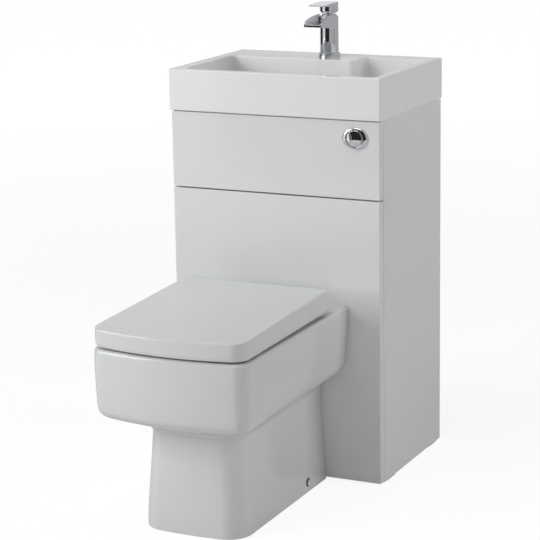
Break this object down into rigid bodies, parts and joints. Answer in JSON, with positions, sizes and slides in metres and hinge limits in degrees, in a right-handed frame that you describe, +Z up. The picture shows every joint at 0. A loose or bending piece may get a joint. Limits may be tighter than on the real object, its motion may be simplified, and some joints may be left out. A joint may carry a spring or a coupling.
{
  "type": "toilet and basin combination unit",
  "caption": "Back-to-wall toilet pan with a wrap-over seat in front of a slim white cabinet that holds the cistern and carries a basin with a waterfall tap.",
  "frame": {"origin": "on the floor, in the middle of the unit's width and depth", "axes": "+X to the right seen from the front, -Y towards the person in front of the unit, +Z up"},
  "size_m": [0.5, 0.8898, 1.0175],
  "materials": {
    "white_board": "white gloss lacquer on board",
    "carcass_board": "white melamine on board",
    "zinc_steel": "zinc plated",
    "dark_plastic": "matt",
    "basin_glaze": "white gloss glaze",
    "pan_glaze": "white gloss glaze",
    "chrome_plate": "polished",
    "black_rubber": "matt",
    "clear_buffer": "soft, pale",
    "white_plastic": "satin",
    "plain_brass": "plain",
    "braided_steel": "braided",
    "red_plastic": "satin",
    "blue_plastic": "satin",
    "seat_gloss": "white gloss"
  },
  "bodies": {
    "base": {"side_panel_left": "white_board", "side_panel_right": "white_board", "front_stiles": "white_board", "fascia_panel": "white_board", "lower_front_panel": "white_board", "carcass_rails": "carcass_board", "back_rail_top": "carcass_board", "cistern_shelf": "carcass_board", "corner_blocks": "carcass_board", "block_screws": "zinc_steel", "panel_clips": "dark_plastic", "glide_feet": "dark_plastic", "basin": "basin_glaze", "waste_flange": "chrome_plate", "rubber_seals": "black_rubber", "waste_nuts": "white_plastic", "trap_body": "white_plastic", "trap_cup": "white_plastic", "waste_pipe": "white_plastic", "tap_body": "chrome_plate", "tap_base_ring": "chrome_plate", "tap_cartridge": "white_plastic", "tap_cartridge_nut": "plain_brass", "tap_shank_nut": "plain_brass", "tap_tails": "braided_steel", "isolating_valves": "plain_brass", "pipe_clips": "white_plastic", "cistern_hose": "braided_steel", "cistern_tank": "white_plastic", "cistern_lid": "white_plastic", "fill_valve": "white_plastic", "flush_valve_body": "white_plastic", "cistern_nuts": "white_plastic", "flush_pipe": "white_plastic", "button_bezel": "chrome_plate", "button_nut": "white_plastic", "button_housing": "dark_plastic", "button_springs": "zinc_steel", "air_tubes": "white_plastic", "pan": "pan_glaze", "pan_connector": "dark_plastic", "pan_brackets": "zinc_steel", "screw_caps": "chrome_plate", "seat_hardware": "chrome_plate"},
    "lid": {"seat_lid": "seat_gloss", "lid_buffers": "clear_buffer"},
    "ring": {"seat_ring": "seat_gloss", "ring_buffers": "clear_buffer"},
    "full_button": {"full_flush_button": "chrome_plate"},
    "half_button": {"half_flush_button": "chrome_plate"},
    "flush_spindle": {"flush_valve_spindle": "dark_plastic"},
    "half_plunger": {"half_flush_plunger": "blue_plastic"},
    "float": {"fill_float": "dark_plastic"},
    "plug": {"waste_plug": "chrome_plate"},
    "swivel": {"tap_swivel_collar": "plain_brass"},
    "lever": {"tap_lever": "chrome_plate", "tap_grub_screw": "zinc_steel"},
    "hot_spindle": {"hot_valve_spindle": "red_plastic"},
    "cold_spindle": {"cold_valve_spindle": "blue_plastic"},
    "cistern_spindle": {"cistern_valve_spindle": "blue_plastic"}
  },
  "joints": [
    {"name": "lid_hinge", "type": "hinge", "parent": "base", "child": "lid", "pos_m": [0, -0.001, 0.419], "axis": [-1, 0, 0], "range_deg": [0, 95]},
    {"name": "ring_hinge", "type": "hinge", "parent": "base", "child": "ring", "pos_m": [0, -0.001, 0.419], "axis": [-1, 0, 0], "range_deg": [0, 91.3]},
    {"name": "full_button_press", "type": "slide", "parent": "base", "child": "full_button", "axis": [0, 1, 0], "range_m": [0, 0.006], "stiffness_N_per_m": 500, "springref_m": -0.004},
    {"name": "half_button_press", "type": "slide", "parent": "base", "child": "half_button", "axis": [0, 1, 0], "range_m": [0, 0.006], "stiffness_N_per_m": 300, "springref_m": -0.004},
    {"name": "spindle_lift", "type": "slide", "parent": "base", "child": "flush_spindle", "axis": [0, 0, 1], "range_m": [0, 0.012]},
    {"name": "half_plunger_drop", "type": "slide", "parent": "base", "child": "half_plunger", "axis": [0, 0, -1], "range_m": [0, 0.006]},
    {"name": "float_rise", "type": "slide", "parent": "base", "child": "float", "axis": [0, 0, 1], "range_m": [0, 0.09]},
    {"name": "plug_press", "type": "slide", "parent": "base", "child": "plug", "axis": [0, 0, -1], "range_m": [0, 0.0075]},
    {"name": "tap_swivel", "type": "hinge", "parent": "base", "child": "swivel", "pos_m": [0, 0.386, 0.979], "axis": [0, 0, 1], "range_deg": [-45, 45]},
    {"name": "lever_lift", "type": "hinge", "parent": "swivel", "child": "lever", "pos_m": [0, 0.386, 0.979], "axis": [-1, 0, 0], "range_deg": [0, 15]},
    {"name": "hot_valve_turn", "type": "hinge", "parent": "base", "child": "hot_spindle", "pos_m": [0.2, 0.18, 0.5], "axis": [1, 0, 0], "range_deg": [0, 90]},
    {"name": "cold_valve_turn", "type": "hinge", "parent": "base", "child": "cold_spindle", "pos_m": [0.2, 0.225, 0.5], "axis": [1, 0, 0], "range_deg": [0, 90]},
    {"name": "cistern_valve_turn", "type": "hinge", "parent": "base", "child": "cistern_spindle", "pos_m": [0.2, 0.262, 0.275], "axis": [1, 0, 0], "range_deg": [0, 90]}
  ],
  "couplings": [
    {"joint": "ring_hinge", "follows": "lid_hinge", "ratio": 0.96},
    {"joint": "spindle_lift", "follows": "full_button_press", "ratio": 2},
    {"joint": "half_plunger_drop", "follows": "half_button_press", "ratio": 1}
  ]
}
